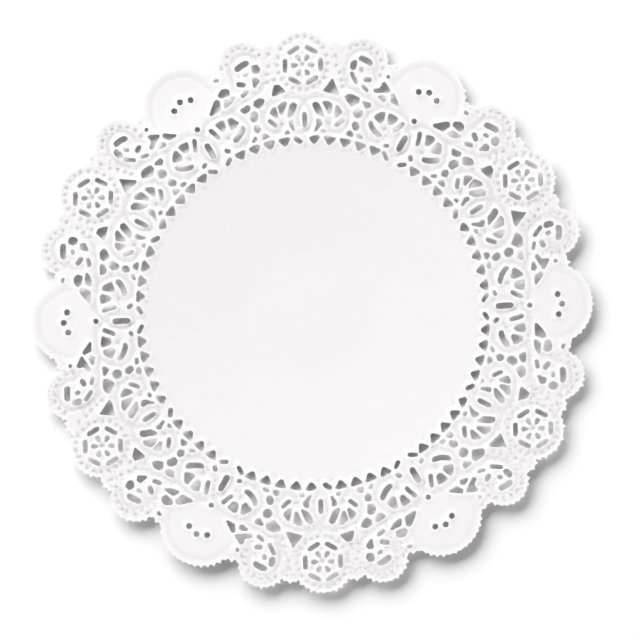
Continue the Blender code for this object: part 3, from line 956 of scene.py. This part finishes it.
# Painted shade in each dot of the thread work.
dot_painted_shade = nodes.new("ShaderNodeMapRange")
dot_painted_shade.inputs["To Min"].default_value = 1.0
dot_painted_shade.inputs["To Max"].default_value = 0.81
links.new(dots.outputs["Value"], dot_painted_shade.inputs["Value"])
colour_with_dot_shade = nodes.new("ShaderNodeVectorMath")
colour_with_dot_shade.operation = "SCALE"
links.new(shaded.outputs["Vector"], colour_with_dot_shade.inputs[0])
links.new(dot_painted_shade.outputs["Result"], colour_with_dot_shade.inputs["Scale"])
links.new(colour_with_dot_shade.outputs["Vector"], shader.inputs["Base Color"])
dot_bump = nodes.new("ShaderNodeBump")
dot_bump.invert = True
dot_bump.inputs["Strength"].default_value = 0.5
dot_bump.inputs["Distance"].default_value = 0.0001
links.new(dots.outputs["Value"], dot_bump.inputs["Height"])

nap = nodes.new("ShaderNodeTexNoise")
nap.inputs["Scale"].default_value = 2600.0
nap.inputs["Detail"].default_value = 4.0
links.new(coordinates.outputs["Object"], nap.inputs["Vector"])
fibre_direction = nodes.new("ShaderNodeMapping")
fibre_direction.inputs["Scale"].default_value = (400.0, 1900.0, 1900.0)
fibre_direction.inputs["Rotation"].default_value = (0.0, 0.0, 0.5)
links.new(coordinates.outputs["Object"], fibre_direction.inputs["Vector"])
fibres = nodes.new("ShaderNodeTexNoise")
fibres.inputs["Scale"].default_value = 1.0
fibres.inputs["Detail"].default_value = 3.0
fibres.inputs["Distortion"].default_value = 1.2
links.new(fibre_direction.outputs["Vector"], fibres.inputs["Vector"])
fibre_bump = nodes.new("ShaderNodeBump")
fibre_bump.inputs["Strength"].default_value = 0.12
fibre_bump.inputs["Distance"].default_value = 0.00006
links.new(fibres.outputs["Fac"], fibre_bump.inputs["Height"])
links.new(dot_bump.outputs["Normal"], fibre_bump.inputs["Normal"])
nap_bump = nodes.new("ShaderNodeBump")
nap_bump.inputs["Strength"].default_value = 0.12
nap_bump.inputs["Distance"].default_value = 0.00004
links.new(nap.outputs["Fac"], nap_bump.inputs["Height"])
links.new(fibre_bump.outputs["Normal"], nap_bump.inputs["Normal"])
links.new(nap_bump.outputs["Normal"], shader.inputs["Normal"])
doily_sheet.data.materials.append(paper)

# The cut sheet's flat area is what its outline holds, less its openings.
open_area = sum(abs(signed_area(opening)) for opening in openings)
paper_area = (abs(signed_area(edge_outline)) - open_area) * chart_unit**2
sheet_width = doily_high[0] - doily_low[0]
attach(doily_sheet, "root")
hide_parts("doily")


# ---------------------------------------------------------------------------------------------
# The table: a plain, matt white top that the doily lies on.  It is a sheet of white board, well
# larger than the view, and its top is at the height of the doily's underside.
TABLE_SIZE = 8.0
bpy.ops.mesh.primitive_plane_add(size=TABLE_SIZE, location=(0.0, 0.0, cad_box[0][2]))
table = bpy.context.object
table.name = "table_top"
bpy.ops.object.transform_apply(location=True, rotation=True, scale=True)
white_board = bpy.data.materials.new("matt white board")
white_board.use_nodes = True
board_shader = white_board.node_tree.nodes["Principled BSDF"]
board_shader.inputs["Base Color"].default_value = (0.88, 0.88, 0.88, 1.0)
board_shader.inputs["Roughness"].default_value = 0.9
board_shader.inputs["Specular IOR Level"].default_value = 0.2
table.data.materials.append(white_board)


# ---------------------------------------------------------------------------------------------
# The light: a large, soft lamp stands low beyond the top of the view, a little to the left, and
# throws the lace's soft shadow down and to the right.  A pale sky, brightest at the horizon and a
# little brighter on the lamp's side, fills the shadows.
KEY_DISTANCE = 4.6
KEY_WIDTH = 7.0
KEY_TALLNESS = 2.2
KEY_HEIGHT_ANGLE = math.radians(24.5)
KEY_SIDE_ANGLE = math.radians(121.0)
KEY_POWER = 478.0
key_light = bpy.data.lights.new("soft lamp", "AREA")
key_light.shape = "ELLIPSE"
key_light.size = KEY_WIDTH
key_light.size_y = KEY_TALLNESS
key_light.energy = KEY_POWER
key = bpy.data.objects.new("soft lamp", key_light)
key.location = (
    KEY_DISTANCE * math.cos(KEY_HEIGHT_ANGLE) * math.cos(KEY_SIDE_ANGLE),
    KEY_DISTANCE * math.cos(KEY_HEIGHT_ANGLE) * math.sin(KEY_SIDE_ANGLE),
    KEY_DISTANCE * math.sin(KEY_HEIGHT_ANGLE),
)
key.rotation_euler = (-key.location).to_track_quat("-Z", "Y").to_euler()
bpy.context.scene.collection.objects.link(key)

# The sky's strength falls from the horizon up to this share of the full height, and stays low
# overhead.  It is a small share stronger on the lamp's side, and as much weaker opposite.
SKY_AT_HORIZON = 2.67
SKY_OVERHEAD = 0.04
SKY_OVERHEAD_FROM = 0.75
SKY_SIDE_SHARE = 0.15
sky = bpy.data.worlds.new("pale sky")
sky.use_nodes = True
sky_background = sky.node_tree.nodes["Background"]
sky_background.inputs["Color"].default_value = (1.0, 1.0, 1.0, 1.0)
sky_direction = sky.node_tree.nodes.new("ShaderNodeTexCoord")
sky_height = sky.node_tree.nodes.new("ShaderNodeSeparateXYZ")
sky_strength = sky.node_tree.nodes.new("ShaderNodeMapRange")
sky_strength.interpolation_type = "SMOOTHSTEP"
sky_strength.inputs["From Max"].default_value = SKY_OVERHEAD_FROM
sky_strength.inputs["To Min"].default_value = SKY_AT_HORIZON
sky_strength.inputs["To Max"].default_value = SKY_OVERHEAD
sky.node_tree.links.new(sky_direction.outputs["Generated"], sky_height.inputs["Vector"])
sky.node_tree.links.new(sky_height.outputs["Z"], sky_strength.inputs["Value"])
lamp_side = sky.node_tree.nodes.new("ShaderNodeVectorMath")
lamp_side.operation = "DOT_PRODUCT"
lamp_side.inputs[1].default_value = (math.cos(KEY_SIDE_ANGLE), math.sin(KEY_SIDE_ANGLE), 0.0)
sky.node_tree.links.new(sky_direction.outputs["Generated"], lamp_side.inputs[0])
side_shade = sky.node_tree.nodes.new("ShaderNodeMapRange")
side_shade.inputs["From Min"].default_value = -1.0
side_shade.inputs["To Min"].default_value = 1.0 - SKY_SIDE_SHARE
side_shade.inputs["To Max"].default_value = 1.0 + SKY_SIDE_SHARE
sky.node_tree.links.new(lamp_side.outputs["Value"], side_shade.inputs["Value"])
sky_product = sky.node_tree.nodes.new("ShaderNodeMath")
sky_product.operation = "MULTIPLY"
sky.node_tree.links.new(sky_strength.outputs["Result"], sky_product.inputs[0])
sky.node_tree.links.new(side_shade.outputs["Result"], sky_product.inputs[1])
sky.node_tree.links.new(sky_product.outputs["Value"], sky_background.inputs["Strength"])
bpy.context.scene.world = sky
bpy.context.scene.view_settings.view_transform = "Standard"


# ---------------------------------------------------------------------------------------------
# The camera looks straight down, as the photograph does.  In the 640 pixel picture the doily is
# 558 pixels wide, its centre is a little up and left of the middle, and it is turned slightly.
PICTURE_PIXELS = 640
DOILY_PIXELS = 558
CENTRE_LEFT_PIXELS = 7.1
CENTRE_UP_PIXELS = 6.7
TURN_IN_PICTURE = math.radians(2.33)
LENS = 100.0
SENSOR = 36.0
metres_per_pixel = sheet_width / DOILY_PIXELS
rim_height = cad_box[1][2]
view_height = rim_height + PICTURE_PIXELS * metres_per_pixel * LENS / SENSOR
aim = Matrix.Rotation(-TURN_IN_PICTURE, 2) @ Vector(
    (CENTRE_LEFT_PIXELS * metres_per_pixel, -CENTRE_UP_PIXELS * metres_per_pixel)
)
camera_data = bpy.data.cameras.new("camera")
camera_data.lens = LENS
camera_data.sensor_width = SENSOR
camera = bpy.data.objects.new("camera", camera_data)
camera.location = (aim.x, aim.y, view_height)
camera.rotation_euler = (0.0, 0.0, -TURN_IN_PICTURE)
bpy.context.scene.collection.objects.link(camera)
bpy.context.scene.camera = camera
